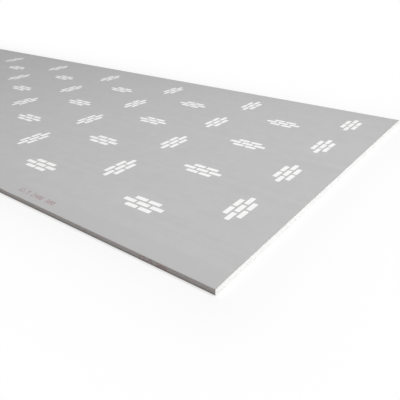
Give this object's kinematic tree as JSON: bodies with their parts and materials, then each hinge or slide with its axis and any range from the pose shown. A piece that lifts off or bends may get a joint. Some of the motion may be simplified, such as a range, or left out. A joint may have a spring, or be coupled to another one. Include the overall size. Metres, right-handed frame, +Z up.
{
  "type": "drywall sheet",
  "caption": "Flat gypsum board with shallow tapered long edges wrapped in grey face paper, lapped by a back paper, and square-cut ends that show the white core",
  "frame": {"origin": "middle of the back, on the surface that the sheet lies on", "axes": "X along the sheet and its wrapped long edges, +X towards the cut end that faces the camera in the picture; Y across the sheet, along its cut ends; +Z up through the thickness, out of the printed face"},
  "size_m": [2.4, 0.9, 0.0125],
  "materials": {
    "gypsum": "matte, fine-pored foamed gypsum",
    "face_paper": "smooth matte grey paper with faint fibre and pale printed marks",
    "back_paper": "rough matte grey-brown recycled paper"
  },
  "bodies": {
    "root": {"gypsum_core": "gypsum", "face_paper": "face_paper", "back_paper": "back_paper"}
  },
  "joints": []
}
